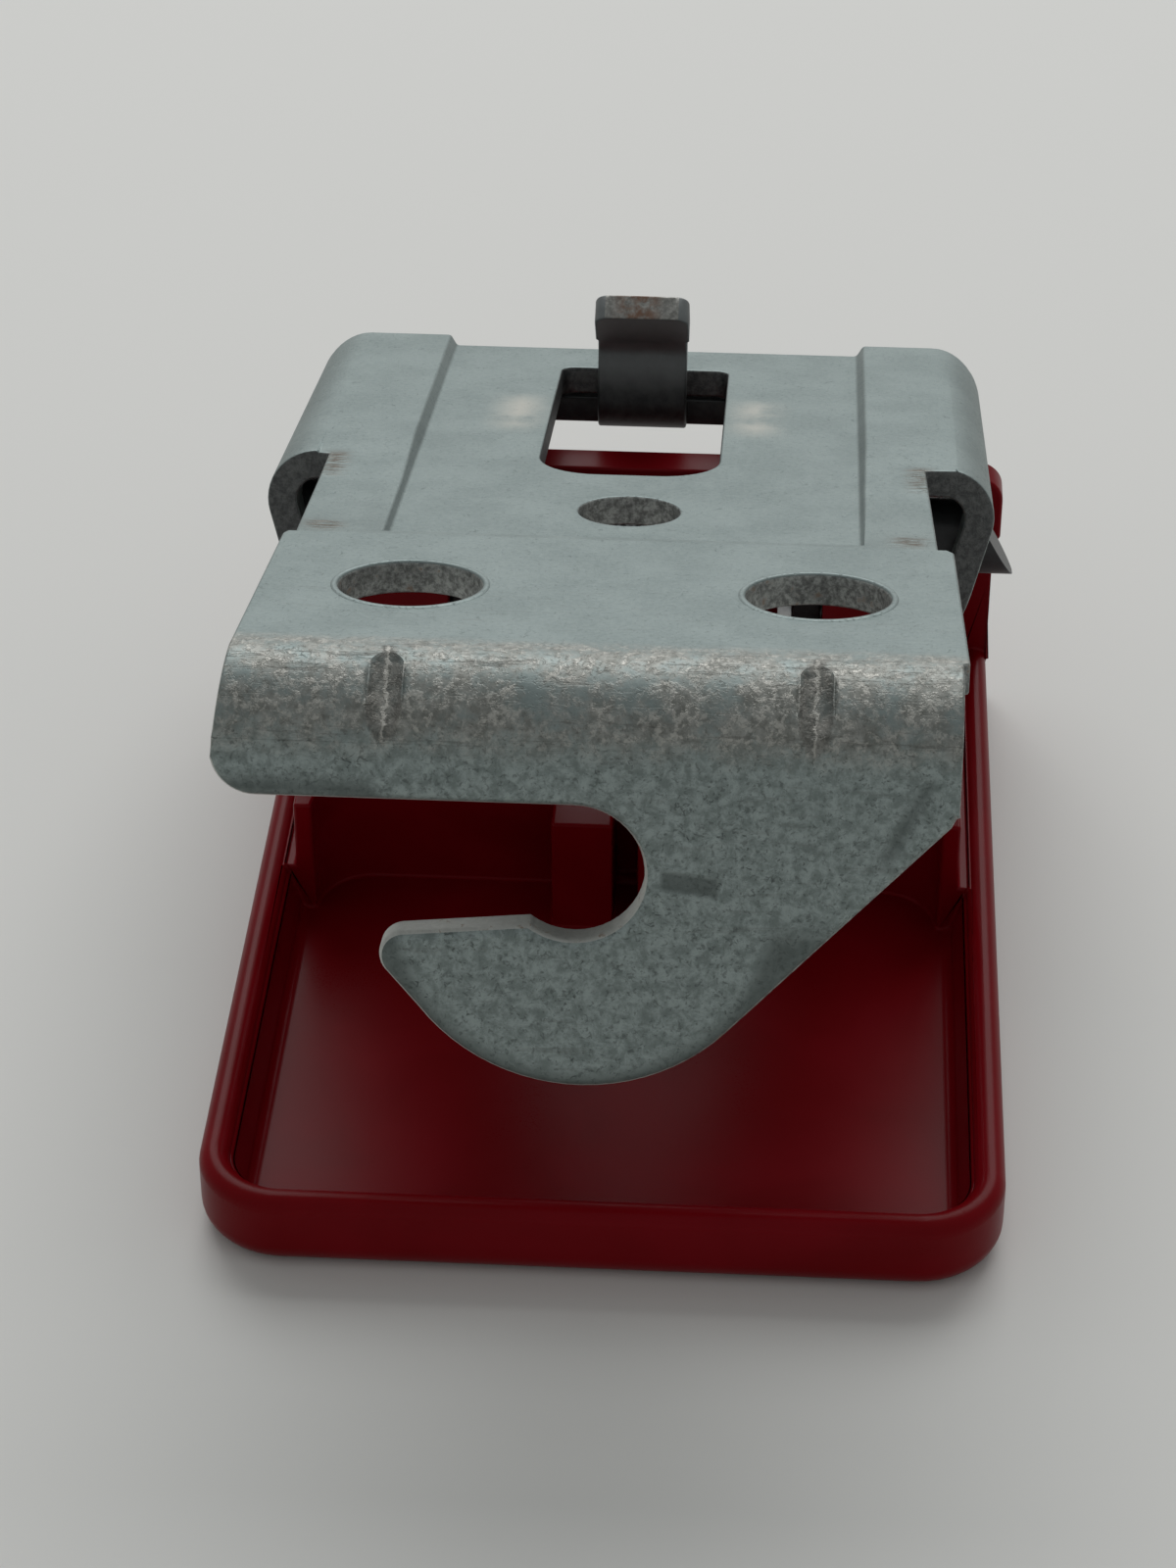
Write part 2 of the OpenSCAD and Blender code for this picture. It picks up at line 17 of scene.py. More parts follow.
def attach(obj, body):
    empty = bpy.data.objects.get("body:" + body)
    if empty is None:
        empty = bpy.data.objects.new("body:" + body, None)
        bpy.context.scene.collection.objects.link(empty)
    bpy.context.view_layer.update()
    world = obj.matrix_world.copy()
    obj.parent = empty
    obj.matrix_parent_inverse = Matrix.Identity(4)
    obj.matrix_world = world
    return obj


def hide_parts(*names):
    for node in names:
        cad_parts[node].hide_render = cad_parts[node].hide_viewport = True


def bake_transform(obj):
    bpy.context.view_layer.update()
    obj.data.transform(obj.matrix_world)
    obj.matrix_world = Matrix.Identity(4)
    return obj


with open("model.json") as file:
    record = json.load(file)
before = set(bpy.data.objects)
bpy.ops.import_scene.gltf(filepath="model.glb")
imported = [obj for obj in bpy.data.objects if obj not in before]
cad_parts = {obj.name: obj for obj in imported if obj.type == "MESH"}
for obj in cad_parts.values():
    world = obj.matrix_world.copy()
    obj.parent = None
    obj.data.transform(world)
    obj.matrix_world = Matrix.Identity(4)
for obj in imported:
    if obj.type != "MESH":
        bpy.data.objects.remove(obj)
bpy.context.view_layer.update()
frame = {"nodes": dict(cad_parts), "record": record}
print("CAD nodes:", len(frame["nodes"]))

# %% [markdown]
# The plate slopes down to the rear, and nearly every mark on it is easier to place in its own
# frame: x to the right, y back from the front bend, z out of the top face. The record's two bolt
# holes and their axis are enough to find that frame, so nothing is measured twice.

# %% The plate's own frame
MM = 0.001
mounts = {m["name"]: m for m in frame["record"]["mounts"]}
bolt_left, bolt_right = mounts["bolt_hole_left"], mounts["bolt_hole_right"]
plate_up = Vector(bolt_left["axis"]).normalized()
plate_back = Vector((1, 0, 0)).cross(plate_up) * -1
SHEET = 2.5
BOLT_X, BOLT_Y, BOLT_R = 15.5, 14.35, bolt_left["dims"]["r_mm"]
between_bolts = (Vector(bolt_left["pos_m"]) + Vector(bolt_right["pos_m"])) / 2
plate_origin = between_bolts - plate_back * BOLT_Y * MM + plate_up * SHEET / 2 * MM
tilt = plate_up.angle((0, 0, 1))
from_plate = (Matrix.Translation(plate_origin) @ Matrix.Rotation(-tilt, 4, "X")
              @ Matrix.Scale(MM, 4))
to_plate = from_plate.inverted()
print("plate frame at", [round(v, 4) for v in plate_origin], "tilt", round(tilt * 180 / pi, 1))

# %% [markdown]
# A long lens keeps the latch's sides nearly parallel. The camera stands in front of the hook and
# looks down at the plate. Its place and turn are plain settings, because a target to aim at would
# be one more object to keep.

# %% Camera
def put_in_scene(thing):
    bpy.context.scene.collection.objects.link(thing)
    return thing


camera_data = bpy.data.cameras.new("camera")
camera_data.sensor_fit = "VERTICAL"
camera_data.sensor_height = 36
camera_data.lens = 90
camera_data.clip_start = 0.01
camera = put_in_scene(bpy.data.objects.new("camera", camera_data))
camera.location = (0.0133, -0.2728, 0.2104)
camera.rotation_euler = (radians(54.27), radians(0.08), radians(3.45))
bpy.context.scene.camera = camera
print("lens", camera_data.lens, "mm")

# %% [markdown]
# Shader maths is easier to read as Python. `Num` wraps a socket that carries a number, and its
# operators add Math nodes. `Finish` makes one material and hands out its other nodes. Both are
# here once, so that each finish below is only its own masks and tones.

# %% Shader helpers
class Num:
    def __init__(self, finish, socket):
        self.finish, self.socket = finish, socket

    def _math(self, operation, a, b):
        return self.finish.num("ShaderNodeMath", {"operation": operation}, {0: a, 1: b})

    def __add__(self, other):
        return self._math("ADD", self, other)

    def __sub__(self, other):
        return self._math("SUBTRACT", self, other)

    def __rsub__(self, other):
        return self._math("SUBTRACT", other, self)

    def __mul__(self, other):
        return self._math("MULTIPLY", self, other)

    def __truediv__(self, other):
        return self._math("DIVIDE", self, other)

    __radd__, __rmul__ = __add__, __mul__


class Finish:
    def __init__(self, name, color, roughness, **fixed):
        self.material = bpy.data.materials.new(name)
        self.material.use_nodes = True
        self.material.diffuse_color = (*color, 1)
        self.tree = self.material.node_tree
        self.shader = self.tree.nodes["Principled BSDF"]
        self.shader.inputs["Base Color"].default_value = (*color, 1)
        self.shader.inputs["Roughness"].default_value = roughness
        for socket, value in fixed.items():
            self.shader.inputs[socket.replace("_", " ")].default_value = value
        self.place = self.node("ShaderNodeTexCoord").outputs["Object"]

    def node(self, kind, settings=None, inputs=None):
        made = self.tree.nodes.new(kind)
        for key, value in (settings or {}).items():
            setattr(made, key, value)
        for key, value in (inputs or {}).items():
            self.feed(made.inputs[key], value)
        return made

    def feed(self, socket, value):
        if isinstance(value, Num):
            value = value.socket
        if isinstance(value, bpy.types.NodeSocket):
            self.tree.links.new(value, socket)
        elif socket.type == "RGBA" and len(value) == 3:
            socket.default_value = (*value, 1)
        else:
            socket.default_value = value

    def num(self, kind, settings=None, inputs=None):
        return Num(self, self.node(kind, settings, inputs).outputs[0])

    def mapped(self, location=(0, 0, 0), turn=0):
        """Object coordinates in millimetres, measured from location and turned about X."""
        return self.node("ShaderNodeMapping", {"vector_type": "TEXTURE"},
                         {"Vector": self.place, "Location": location, "Rotation": (turn, 0, 0),
                          "Scale": (MM, MM, MM)}).outputs[0]

    def axes(self, vector):
        split = self.node("ShaderNodeSeparateXYZ", None, {0: vector})
        return [Num(self, s) for s in split.outputs]

    def noise(self, vector, scale, detail=2, rough=0.5, warp=0):
        made = self.node("ShaderNodeTexNoise", {"noise_dimensions": "3D"},
                         {"Vector": vector, "Scale": scale, "Detail": detail, "Roughness": rough,
                          "Distortion": warp})
        return Num(self, made.outputs["Fac"])

    def fade(self, value, low, high):
        """Smoothly from 0 where value is low to 1 where it is high."""
        return self.num("ShaderNodeMapRange", {"interpolation_type": "SMOOTHSTEP"},
                        {"Value": value, "From Min": low, "From Max": high})

    def most(self, a, b):
        return self.num("ShaderNodeMath", {"operation": "MAXIMUM"}, {0: a, 1: b})

    def length(self, a, b):
        return self.num("ShaderNodeMath", {"operation": "SQRT"}, {0: a * a + b * b})

    def size(self, a):
        return self.num("ShaderNodeMath", {"operation": "ABSOLUTE"}, {0: a})

    def mix(self, factor, a, b):
        """Colour a where factor is 0, b where it is 1."""
        made = self.node("ShaderNodeMix", {"data_type": "RGBA"})
        for key, value in (("Factor_Float", factor), ("A_Color", a), ("B_Color", b)):
            self.feed(next(s for s in made.inputs if s.identifier == key), value)
        return next(s for s in made.outputs if s.identifier == "Result_Color")

    def set(self, **values):
        for name, value in values.items():
            self.feed(self.shader.inputs[name.replace("_", " ")], value)

    def bump(self, height, depth_mm, strength):
        made = self.node("ShaderNodeBump", None,
                         {"Height": height, "Distance": depth_mm * MM, "Strength": strength})
        self.feed(self.shader.inputs["Normal"], made.outputs[0])


print("helpers ready")

# %% [markdown]
# Dull zinc is a blue-grey metal that is never even. It has dark specks where the plating sits on
# pits, most of them on the hook's face; a rubbed, warmer band along the bend with fine scratches;
# dark, burnished patches where the press tool slid; and two pale rubbed spots beside the window.
# Painting them on an image would need an unwrapped surface. Soft masks in the plate's own frame
# need none, and they can be moved by changing a number.

# %% Where the plate's marks are
# Each mark is a centre and a half size in mm: across the plate and back along it, or across the
# hook's face and up it.
WINDOW_X = -0.7
RUBBED_SPOT = (10.5, 68), (1.2, 5.0)
SLID_MIDDLE = (6.8, -14.9), (2.1, 0.75)
SLID_RIGHT = (27.3, -10.4), (0.5, 3.2)
SLID_LEFT = (-28.5, -9.3), (7.0, 0.8)
EAR_CREASE = (24.6, 47.5), (0.9, 3.2)
NECK_CREASE = (23.4, 30.2), (1.4, 1.2)
BELLY_X, BELLY_Z = -1.1, -17.4
ALMOND_Z = -2.7
print("rubbed spots at", [WINDOW_X + side * RUBBED_SPOT[0][0] for side in (-1, 1)], "mm")

# %% The plate's tones
# A pair runs from the dark to the light of one surface.
DULL_ZINC = (0.215, 0.258, 0.254), (0.255, 0.300, 0.295)
FACE_ZINC = (0.19, 0.225, 0.215), (0.37, 0.425, 0.415)
BEND_ZINC = (0.19, 0.185, 0.165), (0.34, 0.335, 0.31)
# The dents' tone is painted shade: it stands in for the shade in the dents' hollows.
DENT_PAINTED_SHADE = (0.09, 0.088, 0.08), (0.24, 0.23, 0.21)
# The crease pair is painted shade in the creases' folds, then a painted highlight on their crests.
CREASE_PAINTED_SHADE_AND_HIGHLIGHT = (0.12, 0.10, 0.08), (0.55, 0.53, 0.48)
# The last of these three tones is a painted highlight along the dents' ridges.
GRAIN, FLAKE, DENT_RIDGE_PAINTED_HIGHLIGHT = (0.34, 0.385, 0.375), (0.56, 0.55, 0.51), (0.55, 0.54, 0.50)
SCRATCH, PIT = (0.13, 0.13, 0.12), (0.085, 0.095, 0.09)
RUBBED_PALE, BURNISHED = (0.46, 0.45, 0.41), (0.09, 0.105, 0.10)
print("plate tones ready")

# %% Zinc-plated steel
def zinc_plated():
    f = Finish("zinc_plated_steel", (0.25, 0.295, 0.29), 0.5, Metallic=1.0)
    at = f.mapped(plate_origin, -tilt)
    x, y, z = f.axes(at)

    def patch(a, b, centre, half, soft):
        """A soft-edged box of tone, 1 inside and 0 outside."""
        across = f.fade(f.size(a - centre[0]), half[0] + soft, half[0] - soft)
        return across * f.fade(f.size(b - centre[1]), half[1] + soft, half[1] - soft)

    cloud = f.noise(at, 0.14, 4, 0.6)
    grain = f.noise(at, 2.2, 4, 0.75)
    on_face = f.fade(z, -2, -7)
    on_bend = f.fade(y, 2.4, 0.2) * f.fade(z, -7.5, -4.0)
    specks = f.fade(f.noise(at, 1.5, 3, 0.6, 1.2), 0.60, 0.70)
    fine = f.fade(f.noise(at, 2.8, 2, 0.6, 0.5), 0.57, 0.68)
    pits = f.most(specks * f.fade(f.noise(at, 0.5, 2), 0.38, 0.60), fine * 0.6)
    mottle = f.noise(at, 0.9, 5, 0.75, 0.3)
    streak_at = f.node("ShaderNodeVectorMath", {"operation": "MULTIPLY"},
                       {0: at, 1: (0.12, 1.2, 1.2)}).outputs[0]
    streaks = f.fade(f.noise(streak_at, 1.3, 5, 0.75, 0.4), 0.55, 0.68)
    flakes = f.fade(f.noise(at, 1.5, 4, 0.75, 0.25), 0.48, 0.62)
    rubbed = on_bend * f.fade(f.noise(at, 0.35, 4, 0.7), 0.30, 0.60)
    from_window = f.size(x - WINDOW_X)
    beside_window = patch(from_window, y, *RUBBED_SPOT, 2.5)
    slid = patch(x, z + x * 0.12, *SLID_MIDDLE, 0.3) * on_face
    slid = f.most(slid, patch(x - z * 0.48, z, *SLID_RIGHT, 0.9) * on_face)
    slid = f.most(slid, patch(x + z * 0.6, z, *SLID_LEFT, 0.9) * on_face)
    belly = f.length(x - BELLY_X, z - BELLY_Z) + mottle * 1.2
    slid = f.most(slid, f.fade(belly, 13.7, 15.2) * f.fade(z, -17.5, -21.0) * on_face)
    # The two almond dents across the bend get painted shade in their hollows and a painted
    # highlight along their ridges; the ridge also lifts the bump.
    dent_shade_mask = f.length((f.size(x) - BOLT_X) / 1.3, (z - ALMOND_Z) / 3.0)
    dent_shade_mask = f.fade(dent_shade_mask + mottle * 0.5, 1.35, 1.1) * f.fade(y, 0, -0.4)
    ridge_bump_and_highlight = f.fade(f.size(f.size(x) - BOLT_X + mottle * 1.6 - 0.8), 0.24, 0.04) * dent_shade_mask
    creased = f.most(patch(from_window, y, *EAR_CREASE, 1.0),
                     patch(from_window, y, *NECK_CREASE, 1.0))
    crease = f.noise(streak_at, 2.4, 4, 0.7, 1.0)
    tone = f.mix(f.fade(cloud, 0.35, 0.65), *DULL_ZINC)
    tone = f.mix(f.fade(grain, 0.35, 0.70) * 0.3, tone, GRAIN)
    tone = f.mix(on_face * 0.8, tone, f.mix(f.fade(mottle, 0.36, 0.64), *FACE_ZINC))
    tone = f.mix(rubbed * 0.8, tone, f.mix(f.fade(mottle, 0.36, 0.64), *BEND_ZINC))
    tone = f.mix(rubbed * flakes * 0.6, tone, FLAKE)
    # Painted shade in the dents, then a painted highlight on their ridges.
    tone = f.mix(dent_shade_mask * 0.65, tone, f.mix(f.fade(mottle, 0.4, 0.6), *DENT_PAINTED_SHADE))
    tone = f.mix(ridge_bump_and_highlight * 0.65, tone, DENT_RIDGE_PAINTED_HIGHLIGHT)
    streaked = streaks * f.most(on_bend * 0.55, f.fade(y, 26, 8) * 0.22)
    tone = f.mix(streaked, tone, SCRATCH)
    tone = f.mix(pits * (0.16 + on_face * 0.5), tone, PIT)
    tone = f.mix(beside_window * f.fade(cloud, 0.3, 0.6), tone, RUBBED_PALE)
    tone = f.mix(slid * 0.75, tone, BURNISHED)
    # Painted shade in the folds of the ear and neck creases and a painted highlight on their
    # crests; the bump below gives their real relief.
    tone = f.mix(creased * f.fade(crease, 0.42, 0.56), tone, CREASE_PAINTED_SHADE_AND_HIGHLIGHT[0])
    tone = f.mix(creased * f.fade(crease, 0.60, 0.68) * 0.7, tone, CREASE_PAINTED_SHADE_AND_HIGHLIGHT[1])
    f.set(Base_Color=tone, Roughness=0.47 + cloud * 0.12 + pits * 0.15 - slid * 0.1)
    f.bump(grain * 0.5 - pits * 0.8 - streaks * on_bend * 0.8 + flakes * rubbed * 0.9 + cloud * 0.6
           + mottle * on_face * 1.5 + ridge_bump_and_highlight * 2 + creased * crease * 4.0 - slid, 0.07, 0.6)
    return f.material


zinc = zinc_plated()
print(zinc.name, len(zinc.node_tree.nodes), "nodes")

# %% [markdown]
# Where the press sheared the sheet, the cut wall is bare, rough and torn, and rust starts there
# first.
# At the hook's mouth the cut wall faces the light and is painted brighter as painted light; the
# ears' cut walls stand in shade and are painted near black as painted shade. It is a second
# material on the same mesh, given face by face.

# %% Sheared edges of the sheet
TORN = (0.16, 0.165, 0.16), (0.48, 0.50, 0.48)
# Painted light for the cut wall at the hook's mouth, which faces the light; painted shade, near
# black, for the ears' cut walls.
MOUTH_EDGE_PAINTED_LIGHT, EAR_EDGE_PAINTED_SHADE = (0.58, 0.59, 0.56), (0.055, 0.057, 0.060)
EDGE_RUST = (0.16, 0.08, 0.03)


def sheared():
    f = Finish("sheared_edge", (0.16, 0.17, 0.165), 0.5, Metallic=1.0)
    at = f.mapped(plate_origin, -tilt)
    x, y, _ = f.axes(at)
    torn = f.noise(at, 1.8, 5, 0.75)
    rust = f.fade(f.noise(at, 0.9, 4, 0.7), 0.58, 0.68) * f.fade(y, 40, 30)
    on_ear = f.fade(y, 44, 48)
    tone = f.mix(f.fade(torn, 0.35, 0.68), *TORN)
    # Painted light: the cut wall at the hook's mouth faces the light.
    tone = f.mix(f.fade(y, 0, -1.5) * f.fade(x, 8, 4) * 0.75, tone, MOUTH_EDGE_PAINTED_LIGHT)
    # Painted shade: the ears' cut walls stand in shade.
    tone = f.mix(on_ear * 0.72, tone, EAR_EDGE_PAINTED_SHADE)
    tone = f.mix(rust * 0.7, tone, EDGE_RUST)
    f.set(Base_Color=tone, Roughness=0.45 + torn * 0.2, Metallic=1.0 - rust * 0.7)
    f.bump(torn, 0.12, 0.7)
    return f.material


shear = sheared()
print(shear.name)

# %% [markdown]
# The handle and its hub are injection mouldings in deep red: satin, with a very fine grain and a
# faint swirl in the gloss. A flat colour would look like paint, so slow noise moves the tone a
# little and fine noise breaks the reflections.

# %% Red plastic
DEEP_RED = (0.145, 0.0008, 0.0030), (0.180, 0.0013, 0.0050)


def red_plastic():
    f = Finish("red_moulded_plastic", (0.17, 0.001, 0.004), 0.32, Specular_IOR_Level=0.08)
    at = f.mapped()
    swirl = f.noise(at, 0.07, 3, 0.5, 0.6)
    grain = f.noise(at, 6, 2, 0.6)
    tone = f.mix(f.fade(swirl, 0.3, 0.7), *DEEP_RED)
    f.set(Base_Color=tone, Roughness=0.22 + swirl * 0.10 + grain * 0.05)
    f.bump(grain * 0.6 + swirl, 0.03, 0.35)
    return f.material


red = red_plastic()
print(red.name)

# %% [markdown]
# The finger lever is blackened steel. Its upright face above the plate is painted lighter grey as
# painted light, fading back to the steel's own black below the plate. Handling has worn the end of
# the leaning tip, which shows bare metal and a patch of brown rust.

# %% Blackened steel
FINGER_X, FINGER_HALF = -0.85, (4.6, 3.9)
TIP_RUST_X = -1.2
BLACKENED = (0.030, 0.031, 0.032), (0.055, 0.057, 0.057)
# Painted light for the finger's upright face above the plate.
FINGER_PAINTED_LIGHT = (0.22, 0.235, 0.235)
BARE_TIP = (0.16, 0.16, 0.15), (0.34, 0.34, 0.32)
TIP_RUST = (0.15, 0.065, 0.03)


def black_steel():
    f = Finish("blackened_steel", (0.05, 0.053, 0.054), 0.45, Metallic=0.7)
    at = f.mapped(plate_origin, -tilt)
    x, _, z = f.axes(at)
    mottle = f.noise(at, 0.8, 4, 0.65)
    # The finger's upright face above the plate gets painted light, fading back to the steel's own
    # black below the plate.
    finger_light_mask = f.fade(f.size(x - FINGER_X), *FINGER_HALF) * f.fade(z, -3.0, 0.5)
    tone = f.mix(f.fade(mottle, 0.3, 0.7), *BLACKENED)
    tone = f.mix(finger_light_mask * (0.6 + mottle * 0.4), tone, FINGER_PAINTED_LIGHT)
    f.set(Base_Color=tone, Roughness=0.40 + mottle * 0.2)
    f.bump(f.noise(at, 4, 3, 0.6), 0.04, 0.4)
    return f.material


def worn_tip():
    f = Finish("worn_steel_tip", (0.2, 0.19, 0.17), 0.5, Metallic=0.8)
    at = f.mapped(plate_origin, -tilt)
    x = f.axes(at)[0]
    blotch = f.noise(at, 0.7, 4, 0.7)
    rust = f.fade(f.size(x - TIP_RUST_X), 2.6, 0.8) * f.fade(blotch, 0.35, 0.6)
    tone = f.mix(f.fade(f.noise(at, 2.0, 4, 0.7), 0.3, 0.7), *BARE_TIP)
    tone = f.mix(rust * 0.85, tone, TIP_RUST)
    f.set(Base_Color=tone, Roughness=0.45 + rust * 0.3, Metallic=0.9 - rust * 0.8)
    f.bump(blotch, 0.08, 0.6)
    return f.material


black = black_steel()
tip = worn_tip()
print(black.name, tip.name)

# %% [markdown]
# The snap bushes are black plastic, and the spindle, rivets, screws and spring are plain steel in
# slightly different states. One function makes them, so that they differ only where they should.

# %% Bush plastic and plain steels
def plain(name, low, high, roughness, metallic):
    f = Finish(name, high, roughness, Metallic=metallic)
    at = f.mapped()
    mottle = f.noise(at, 1.2, 4, 0.6)
    f.set(Base_Color=f.mix(f.fade(mottle, 0.3, 0.7), low, high),
          Roughness=roughness + mottle * 0.12)
    f.bump(f.noise(at, 4.8, 3, 0.6), 0.03, 0.4)
    return f.material


black_plastic = plain("black_moulded_plastic", (0.014, 0.014, 0.015), (0.024, 0.024, 0.026),
                      0.34, 0.0)
turned = plain("turned_steel", (0.42, 0.42, 0.42), (0.56, 0.56, 0.56), 0.25, 1.0)
wire = plain("spring_wire", (0.24, 0.25, 0.26), (0.38, 0.39, 0.40), 0.3, 1.0)
screw_zinc = plain("screw_zinc", (0.45, 0.46, 0.44), (0.60, 0.61, 0.60), 0.32, 1.0)
print("plain finishes ready")

# %% [markdown]
# A CAD solid has knife edges. Each part gets a finished copy: its triangles are welded, flat
# areas become single faces again, and the sharp edges are broken with a small round. A Bevel
# modifier could do it too, but the operator lets each edge have its own radius. The copy stands
# for the CAD node and rides on the same body.

# %% Breaking the edges
BODY = {name: body for body, names in frame["record"]["behaviour"]["bodies"].items()
        for name in names}
WELD = 0.004 * MM
FLAT, CRISP, SHARP = 0.4, 22, 50
print("bodies:", sorted(set(BODY.values())))


def sharp_edges(bm, angle=SHARP, keep=lambda edge: True):
    return [e for e in bm.edges if len(e.link_faces) == 2 and e.calc_face_angle(0) > radians(angle)
            and keep(e)]


def keep_crisp(bm):
    """Marks the edges that are too flat to be broken but still show as edges."""
    for edge in sharp_edges(bm, CRISP):
        edge.smooth = edge.calc_face_angle() > radians(SHARP)


def round_over(bm, edges, radius_mm, segments=2):
    """Breaks these edges. A point that a short edge threw clear of the part goes back onto it."""
    before = BVHTree.FromBMesh(bm)
    bmesh.ops.bevel(bm, geom=edges, offset=radius_mm * MM, offset_type="OFFSET", segments=segments,
                    profile=0.5, affect="EDGES", clamp_overlap=False, material=-1)
    for vert in bm.verts:
        place, _, _, distance = before.find_nearest(vert.co)
        if distance > 1.05 * radius_mm * MM:
            vert.co = place


def welded(name):
    """The CAD node's surface as a bmesh, welded and without edges inside flat areas."""
    bm = bmesh.new()
    bm.from_mesh(frame["nodes"][name].data)
    bmesh.ops.remove_doubles(bm, verts=bm.verts, dist=WELD)
    bmesh.ops.dissolve_limit(bm, angle_limit=radians(FLAT), verts=bm.verts, edges=bm.edges,
                             use_dissolve_boundaries=False)
    bm.normal_update()
    keep_crisp(bm)
    return bm


def smooth_piece(name, bm, materials):
    """Turns a bmesh into a smooth-shaded object and frees it."""
    bmesh.ops.recalc_face_normals(bm, faces=bm.faces)
    mesh = bpy.data.meshes.new(name)
    bm.to_mesh(mesh)
    bm.free()
    mesh.shade_smooth()
    for material in materials:
        mesh.materials.append(material)
    return put_in_scene(bpy.data.objects.new(name, mesh))


def stand_in(name, bm, materials):
    """Makes the finished object that is shown in place of the CAD node."""
    piece = smooth_piece(name + "_finished", bm, materials)
    piece.modifiers.new("flat_stays_flat", "WEIGHTED_NORMAL").keep_sharp = True
    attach(piece, BODY[name])
    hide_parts(name)
    was, now = ([v.co for v in m.vertices] for m in (frame["nodes"][name].data, piece.data))
    past = max(max(max(v[i] for v in now) - max(v[i] for v in was),
                   min(v[i] for v in was) - min(v[i] for v in now)) for i in range(3))
    print(f"{name}: {len(piece.data.polygons)} faces, {past / MM:.3f} mm past its node's box")
    return piece

# %% [markdown]
# On the hook plate the press leaves a wide, soft round on the edges of the hook's front face and
# a crisp one elsewhere. Faces that run through the thickness of the sheet are its cut edges.

# %% Hook plate
FRONT_R = 5.6
CHANNEL_X, EAR_X, EAR_Y, EAR_Z = -0.5, 26.4, 50.0, -5.2
HOOK_ROUND, PLATE_ROUND = 0.8, 0.22


def is_cut(face):
    """True where a face runs through the sheet's thickness and not along the sheet."""
    at = to_plate @ face.calc_center_median()
    n = (to_plate.to_3x3() @ face.normal).normalized()
    if at.y < 0.01:
        along = Vector((0, at.y, at.z + FRONT_R)) if at.z > -FRONT_R else Vector((0, 1, 0))
        return abs(n.dot(along.normalized())) < 0.4
    if abs(at.x - CHANNEL_X) > EAR_X and at.y > EAR_Y:
        return abs(n.x) < 0.2 and (at.z < EAR_Z or abs(n.y) > 0.7)
    return abs(n.z) < 0.3


def on_hook_front(edge):
    """True for an edge of the hook's front face, below the bend."""
    return all((to_plate @ v.co).y < 0.06 - FRONT_R and (to_plate @ v.co).z < -FRONT_R - 0.3
               for v in edge.verts)


plate = welded("hook_bracket")
for face in plate.faces:
    face.material_index = int(is_cut(face))
round_over(plate, sharp_edges(plate, keep=on_hook_front), HOOK_ROUND, 4)
round_over(plate, sharp_edges(plate, keep=lambda e: not on_hook_front(e)), PLATE_ROUND)
hook_plate = stand_in("hook_bracket", plate, [zinc, shear])
print("hook plate faces:", len(hook_plate.data.polygons))

# %% [markdown]
# Mouldings come out of the tool with broken edges, so the handle gets a generous round and the
# small hub a finer one. The lever is cut from sheet, and only the end of its tip is worn bare, so
# that one face gets the worn material before its edges are rounded.

# %% Handle, hub and lever
HANDLE_SHARP, HANDLE_ROUND, HUB_ROUND, LEVER_ROUND = 40, 0.3, 0.15, 0.2
TIP_Z = 3


def is_tip_end(face):
    """True for the end of the leaning tip, which looks up and to the front."""
    at = to_plate @ face.calc_center_median()
    n = (to_plate.to_3x3() @ face.normal).normalized()
    return at.z > TIP_Z and n.y < -0.4 and n.z > 0.3 and abs(n.x) < 0.3


handle = welded("handle_shell")
round_over(handle, sharp_edges(handle, HANDLE_SHARP), HANDLE_ROUND)
stand_in("handle_shell", handle, [red])

hub = welded("hub_block")
round_over(hub, sharp_edges(hub), HUB_ROUND)
stand_in("hub_block", hub, [red])

lever = welded("tongue_lever")
for face in lever.faces:
    face.material_index = int(is_tip_end(face))
round_over(lever, sharp_edges(lever), LEVER_ROUND)
stand_in("tongue_lever", lever, [black, tip])
print("red and black parts finished")

# %% [markdown]
# The bushes, spindle, rivets and screws are turned or moulded to size and hardly worn. They differ
# only in finish, so one loop breaks all their edges with the same fine round.

# %% Small parts
SMALL_ROUND = 0.08
SMALL = {"snap_bush": black_plastic, "pivot_spindle": turned, "lever_rivet": turned,
         "hub_screw": screw_zinc}
for name in frame["nodes"]:
    for key, material in SMALL.items():
        if name.startswith(key):
            part = welded(name)
            round_over(part, sharp_edges(part), SMALL_ROUND)
            stand_in(name, part, [material])
print("small parts finished")

# %% [markdown]
# The return spring is wire wound about the pivot. Its front leg presses up under the plate and its
# other leg stands on the hub, so the coil winds up as the handle is squeezed. A curve with a round
# bevel gives the wire.

# %% Return spring
PIVOT = Vector(frame["record"]["behaviour"]["joints"][0]["pos_m"])
COIL_R, WIRE_R, TURNS, LEG_ANGLE = 3.05, 0.6, 4, -18.8
PITCH, STEP, LEG_STEPS = 1.32, 7.5, 6
SWEEP = TURNS * 360 + 90 - LEG_ANGLE
HALF_COIL = SWEEP / 360 * PITCH / 2
FRONT_LEG, FOOT_LEG = 10.5, 14.2


def spring_points():
    """The wire's middle line about the pivot, in the plate's frame."""
    points = [Vector((-HALF_COIL, -FRONT_LEG * k / LEG_STEPS, COIL_R))
              for k in range(LEG_STEPS, 0, -1)]
    steps = round(SWEEP / STEP)
    for k in range(steps + 1):
        turn = radians(90 - SWEEP * k / steps)
        points.append(Vector((HALF_COIL * (2 * k / steps - 1), COIL_R * cos(turn),
                              COIL_R * sin(turn))))
    down = Vector((0, sin(radians(LEG_ANGLE)), -cos(radians(LEG_ANGLE))))
    return points + [points[-1] + down * FOOT_LEG * k / LEG_STEPS
                     for k in range(1, LEG_STEPS + 1)]


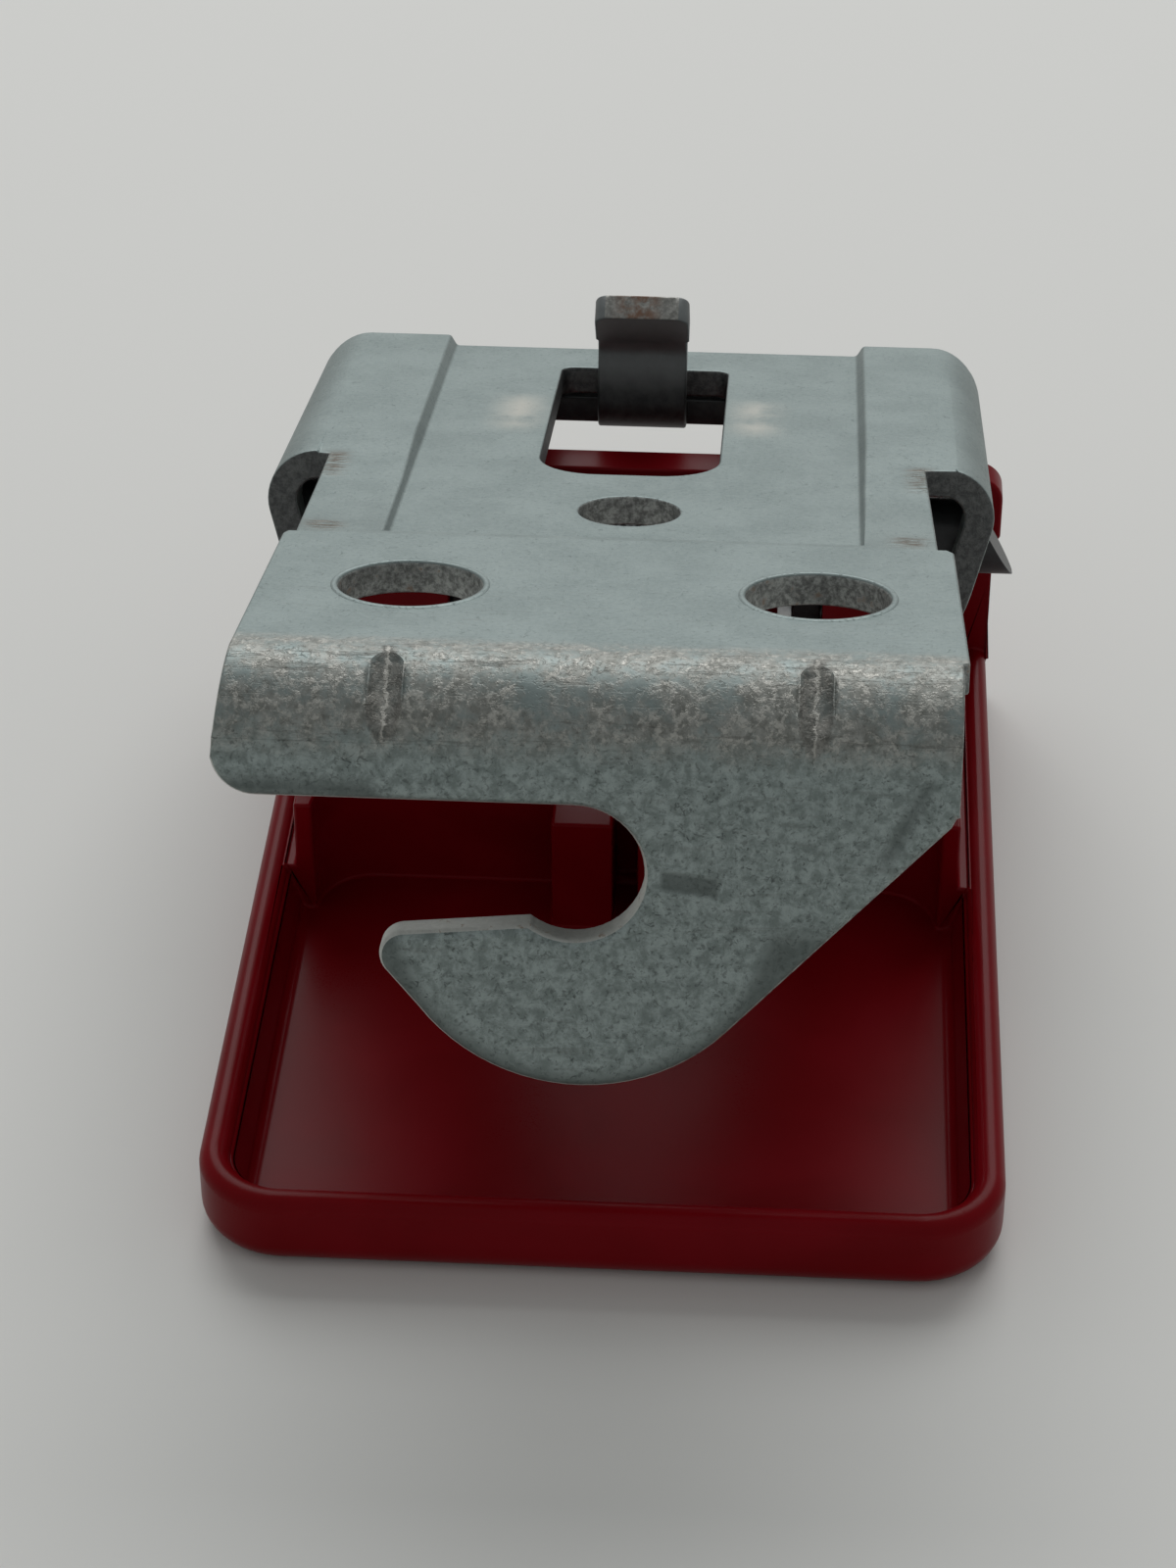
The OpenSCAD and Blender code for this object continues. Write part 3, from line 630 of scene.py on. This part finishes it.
line = bpy.data.curves.new("spring_line", "CURVE")
line.dimensions, line.use_fill_caps = "3D", True
line.bevel_depth, line.bevel_resolution = WIRE_R * MM, 3
run = line.splines.new("POLY")
route = [PIVOT + from_plate.to_3x3() @ p for p in spring_points()]
run.points.add(len(route) - 1)
for point, place in zip(run.points, route):
    point.co = (*place, 1)
swept = put_in_scene(bpy.data.objects.new("spring_line", line))
bpy.context.view_layer.update()
spring_mesh = bpy.data.meshes.new_from_object(swept)
spring = put_in_scene(bpy.data.objects.new("return_spring_finished", spring_mesh))
bpy.data.objects.remove(swept)
spring.data.materials.clear()
spring.data.materials.append(wire)
spring.data.shade_smooth()
wind_start, wind_end = (PIVOT + Vector((side * HALF_COIL * MM, 0, 0)) for side in (-1, 1))
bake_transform(spring)
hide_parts("return_spring")
print("spring points:", len(route))

# %% [markdown]
# Punching throws up a low burr round each bolt hole, and it catches the light as a thin ring. Each
# is one small profile, spun full circle about the hole's axis.

# %% Burr rings
RING = [(BOLT_R + out, up) for out, up in ((0.05, -0.05), (0.12, 0.10), (0.45, 0.13),
                                           (0.62, -0.05))]
RING_STEPS = 96


def burr_ring(name, hole_x):
    bm = bmesh.new()
    profile = [bm.verts.new((hole_x + r, BOLT_Y, z)) for r, z in RING]
    edges = [bm.edges.new(pair) for pair in zip(profile, profile[1:])]
    bmesh.ops.spin(bm, geom=profile + edges, cent=(hole_x, BOLT_Y, 0), axis=(0, 0, 1),
                   angle=2 * pi, steps=RING_STEPS, use_merge=True)
    bm.transform(from_plate)
    ring = smooth_piece(name, bm, [zinc])
    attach(ring, "bracket")


for side, hole_x in (("left", -BOLT_X), ("right", BOLT_X)):
    burr_ring("burr_ring_" + side, hole_x)
print("burr rings made")

# %% [markdown]
# A pale table, a wide soft panel low behind the latch and a dim room. The light comes from behind,
# so the front of the latch and the table before it fall into a soft shadow.

# %% Table, light and room
bpy.ops.mesh.primitive_plane_add(size=6)
table = bpy.context.object
table.name = "table"
table.data.materials.append(Finish("pale_table", (0.74, 0.735, 0.71), 0.6).material)

world = bpy.data.worlds.new("room")
bpy.context.scene.world = world
world.use_nodes = True
sky = world.node_tree.nodes["Background"]
sky.inputs["Color"].default_value = (0.97, 1.0, 1.0, 1)
sky.inputs["Strength"].default_value = 0.35


def soft_light(name, place, aim, size, watts):
    data = bpy.data.lights.new(name, "AREA")
    data.shape, data.size, data.size_y, data.energy = "RECTANGLE", size[0], size[1], watts
    lamp = put_in_scene(bpy.data.objects.new(name, data))
    lamp.location = place
    lamp.rotation_euler = (Vector(aim) - Vector(place)).to_track_quat("-Z", "Y").to_euler()


soft_light("window_panel", (0.0, 1.5, 1.45), (0, 0, 0), (2.2, 1.4), 27)
bpy.context.scene.view_settings.view_transform = "Standard"
print("stage set")
